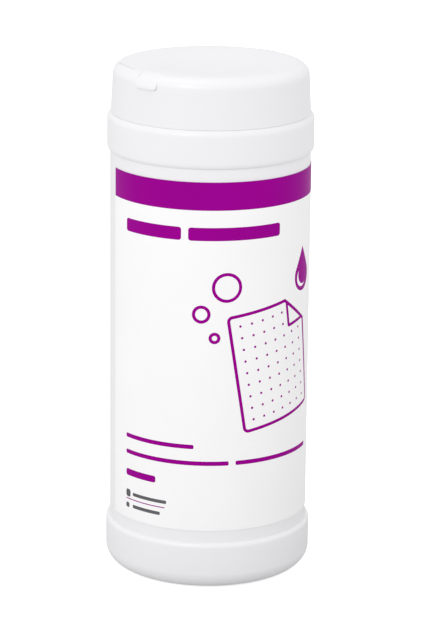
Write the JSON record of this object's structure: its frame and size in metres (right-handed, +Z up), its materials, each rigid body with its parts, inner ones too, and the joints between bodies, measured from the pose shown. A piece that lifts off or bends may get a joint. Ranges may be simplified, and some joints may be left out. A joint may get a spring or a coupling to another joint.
{
  "type": "canister of disinfecting wipes",
  "caption": "Tall round plastic canister of wet wipes with a wrap-round label, a push-on dispensing lid and a hinged flip cover with a thumb tab.",
  "frame": {"origin": "centre of the canister's standing ring, on the surface it stands on", "axes": "+Z up along the canister's axis, -Y towards the front as in the picture, with the thumb tab to the left of the front"},
  "size_m": [0.0884, 0.0884, 0.2206],
  "materials": {
    "canister_plastic": "satin blow-moulded white polyethylene",
    "lid_plastic": "semi-gloss injection-moulded white polypropylene",
    "label_film": "white printed film with a purple band and plain purple marks",
    "nonwoven": "damp embossed nonwoven"
  },
  "bodies": {
    "tub": {"canister": "canister_plastic", "label": "label_film", "wipes_roll": "nonwoven"},
    "lid": {"lid": "lid_plastic"},
    "cover": {"flip_cover": "lid_plastic"}
  },
  "joints": [
    {"name": "lid_lift", "type": "slide", "parent": "tub", "child": "lid", "axis": [0, 0, 1], "range_m": [0, 0.04]},
    {"name": "cover_hinge", "type": "hinge", "parent": "lid", "child": "cover", "pos_m": [0.02355, 0.02616, 0.2204], "axis": [-0.7431, 0.6691, 0], "range_deg": [0, 115]}
  ]
}
